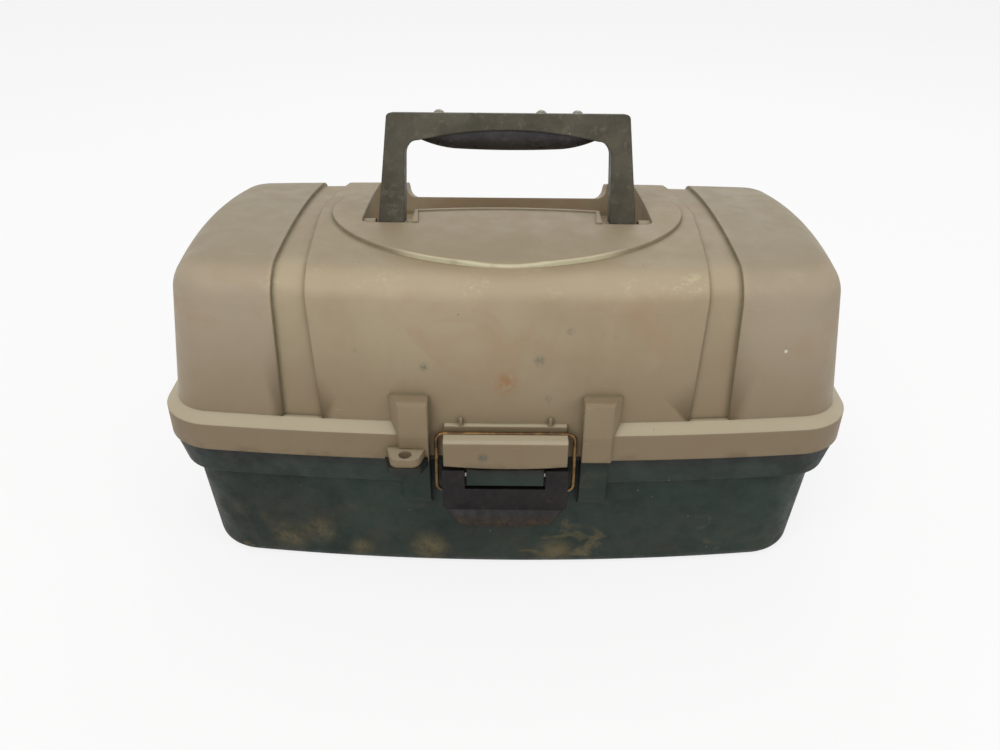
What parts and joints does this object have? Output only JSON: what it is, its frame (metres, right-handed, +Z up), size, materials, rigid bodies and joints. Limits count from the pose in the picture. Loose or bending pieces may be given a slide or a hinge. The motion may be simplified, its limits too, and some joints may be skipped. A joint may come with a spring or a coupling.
{
  "type": "fishing tackle box",
  "caption": "Moulded tackle box with a domed lid hinged at the back, a folding handle, a wire draw latch, a padlock ear and trays on arms that swing back with the lid.",
  "frame": {"origin": "on the ground, midway between the box's ends and midway between the front and back of the lid's flange", "axes": "+X along the front, towards the right of someone facing the latch; +Y from the latch to the hinges; +Z up"},
  "size_m": [0.456, 0.263, 0.2911],
  "materials": {
    "base_green": "fine grained moulding, dusty with old dirt low down",
    "lid_tan": "fine grained moulding, scuffed and stained",
    "handle_olive": "smooth moulding gone dull",
    "grip_black": "soft, slightly shiny",
    "screw_steel": "dull and spotted",
    "latch_brown": "worn dark paint with rust at the lip",
    "wire_brass": "tarnished plating over steel wire",
    "pin_steel": "drawn steel",
    "tray_grey": "plain moulding",
    "arm_steel": "pressed strip, zinc plated"
  },
  "bodies": {
    "base": {"base_shell": "base_green", "base_padlock_ear": "base_green", "hinge_pin_left": "pin_steel", "hinge_pin_right": "pin_steel", "latch_pin": "pin_steel", "arm_base_rivets": "pin_steel"},
    "lid": {"lid_shell": "lid_tan", "lid_padlock_ear": "lid_tan", "lid_tray_pins": "pin_steel"},
    "handle": {"handle_frame": "handle_olive", "handle_grip": "grip_black", "handle_screws": "screw_steel", "handle_pin_left": "pin_steel", "handle_pin_right": "pin_steel"},
    "latch_lever_body": {"latch_lever": "latch_brown"},
    "latch_bail_body": {"latch_bail": "wire_brass"},
    "rear_arms": {"rear_arm_left": "arm_steel", "rear_arm_right": "arm_steel"},
    "front_arms": {"front_arm_left": "arm_steel", "front_arm_right": "arm_steel"},
    "tray_low_body": {"tray_low": "tray_grey", "tray_low_dividers": "tray_grey", "tray_low_rivets": "pin_steel"},
    "tray_middle_body": {"tray_middle": "tray_grey", "tray_middle_dividers": "tray_grey", "tray_middle_rivets": "pin_steel"},
    "tray_top_body": {"tray_top": "tray_grey", "tray_top_dividers": "tray_grey", "tray_top_rivets": "pin_steel"}
  },
  "joints": [
    {"name": "lid_hinge", "type": "hinge", "parent": "base", "child": "lid", "pos_m": [0, 0.124, 0.0993], "axis": [-1, 0, 0], "range_deg": [0, 95]},
    {"name": "handle_fold", "type": "hinge", "parent": "lid", "child": "handle", "pos_m": [0, -0.02, 0.217], "axis": [-1, 0, 0], "range_deg": [-10, 80]},
    {"name": "latch_lever_turn", "type": "hinge", "parent": "base", "child": "latch_lever_body", "pos_m": [0, -0.1208, 0.09], "axis": [-1, 0, 0], "range_deg": [0, 100]},
    {"name": "latch_bail_swing", "type": "hinge", "parent": "latch_lever_body", "child": "latch_bail_body", "pos_m": [0, -0.1198, 0.0765], "axis": [-1, 0, 0], "range_deg": [-120, 0], "deforming": ["latch_bail"]},
    {"name": "rear_arm_swing", "type": "hinge", "parent": "base", "child": "rear_arms", "pos_m": [0, 0.058, 0.088], "axis": [-1, 0, 0], "range_deg": [0, 95]},
    {"name": "front_arm_swing", "type": "hinge", "parent": "base", "child": "front_arms", "pos_m": [0, 0.014, 0.088], "axis": [-1, 0, 0], "range_deg": [0, 95]},
    {"name": "tray_low_level", "type": "hinge", "parent": "rear_arms", "child": "tray_low_body", "pos_m": [0, 0.03594, 0.10524], "axis": [-1, 0, 0], "range_deg": [-95, 0]},
    {"name": "tray_middle_level", "type": "hinge", "parent": "rear_arms", "child": "tray_middle_body", "pos_m": [0, 0.00126, 0.13233], "axis": [-1, 0, 0], "range_deg": [-95, 0]},
    {"name": "tray_top_level", "type": "hinge", "parent": "rear_arms", "child": "tray_top_body", "pos_m": [0, -0.03262, 0.1588], "axis": [-1, 0, 0], "range_deg": [-95, 0]}
  ],
  "couplings": [
    {"joint": "latch_bail_swing", "follows": "latch_lever_turn", "ratio": -1.2},
    {"joint": "rear_arm_swing", "follows": "lid_hinge", "ratio": 1},
    {"joint": "front_arm_swing", "follows": "lid_hinge", "ratio": 1},
    {"joint": "tray_low_level", "follows": "lid_hinge", "ratio": -1},
    {"joint": "tray_middle_level", "follows": "lid_hinge", "ratio": -1},
    {"joint": "tray_top_level", "follows": "lid_hinge", "ratio": -1}
  ]
}
